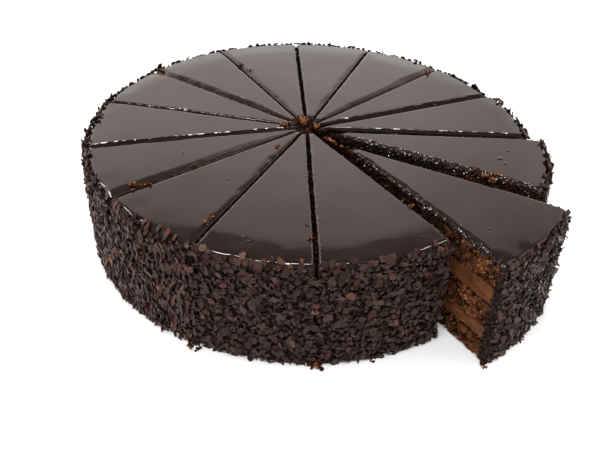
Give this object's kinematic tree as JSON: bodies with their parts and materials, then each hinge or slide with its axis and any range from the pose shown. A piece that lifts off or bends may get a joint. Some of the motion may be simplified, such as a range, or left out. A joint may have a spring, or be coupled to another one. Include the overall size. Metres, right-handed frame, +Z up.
{
  "type": "sachertorte cake",
  "caption": "Round chocolate layer cake with a glossy dark glaze and flaked sides, cut into slices, one slice drawn part of the way out.",
  "frame": {"origin": "middle of the cake's footprint, on the surface that it stands on", "axes": "+Z up; -Y towards the viewer of the picture; +X to the viewer's right, the side of the drawn slice"},
  "size_m": [0.2717, 0.2597, 0.0652],
  "materials": {
    "chocolate_glaze": "glossy dark chocolate glaze",
    "chocolate_flakes": "satin broken chocolate flakes",
    "chocolate_sponge": "open-pored crumbly chocolate sponge",
    "chocolate_cream": "smooth light chocolate cream",
    "cake_core": "sponge and cream layers, cut"
  },
  "bodies": {
    "root": {"slice_01_icing": "chocolate_glaze", "slice_01_sponge_bottom": "chocolate_sponge", "slice_01_cream_lower": "chocolate_cream", "slice_01_sponge_middle": "chocolate_sponge", "slice_01_cream_upper": "chocolate_cream", "slice_01_sponge_top": "chocolate_sponge", "slice_02_icing": "chocolate_glaze", "slice_02_sponge_bottom": "chocolate_sponge", "slice_02_cream_lower": "chocolate_cream", "slice_02_sponge_middle": "chocolate_sponge", "slice_02_cream_upper": "chocolate_cream", "slice_02_sponge_top": "chocolate_sponge", "slice_03_icing": "chocolate_glaze", "slice_03_cake": "cake_core", "slice_04_icing": "chocolate_glaze", "slice_04_cake": "cake_core", "slice_05_icing": "chocolate_glaze", "slice_05_cake": "cake_core", "slice_06_icing": "chocolate_glaze", "slice_06_cake": "cake_core", "slice_07_icing": "chocolate_glaze", "slice_07_cake": "cake_core", "slice_08_icing": "chocolate_glaze", "slice_08_cake": "cake_core", "slice_09_icing": "chocolate_glaze", "slice_09_cake": "cake_core", "slice_10_icing": "chocolate_glaze", "slice_10_cake": "cake_core", "slice_11_icing": "chocolate_glaze", "slice_11_cake": "cake_core", "slice_12_icing": "chocolate_glaze", "slice_12_cake": "cake_core", "slice_13_icing": "chocolate_glaze", "slice_13_cake": "cake_core", "slice_14_icing": "chocolate_glaze", "slice_14_sponge_bottom": "chocolate_sponge", "slice_14_cream_lower": "chocolate_cream", "slice_14_sponge_middle": "chocolate_sponge", "slice_14_cream_upper": "chocolate_cream", "slice_14_sponge_top": "chocolate_sponge"}
  },
  "joints": []
}
